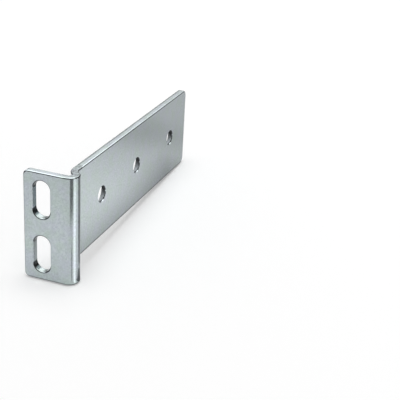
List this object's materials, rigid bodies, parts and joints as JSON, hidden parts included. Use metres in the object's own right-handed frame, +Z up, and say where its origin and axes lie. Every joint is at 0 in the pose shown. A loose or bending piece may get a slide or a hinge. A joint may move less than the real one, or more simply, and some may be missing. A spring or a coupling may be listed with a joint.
{
  "type": "rack mount ear bracket",
  "caption": "Folded sheet steel ear with a slotted front flange, a joggled bend and a long side plate with countersunk holes, for fixing a device in an equipment rack.",
  "frame": {"origin": "midway between the two slots, on the back face of the flange, which meets the rack rail", "axes": "+X across the rack towards the device, +Y back into the rack along the side plate, +Z up"},
  "size_m": [0.021, 0.118, 0.044],
  "materials": {
    "zinc_plated_steel": "bright zinc plating, faintly mottled, tumbled edges"
  },
  "bodies": {
    "root": {"ear_bracket": "zinc_plated_steel"}
  },
  "joints": []
}
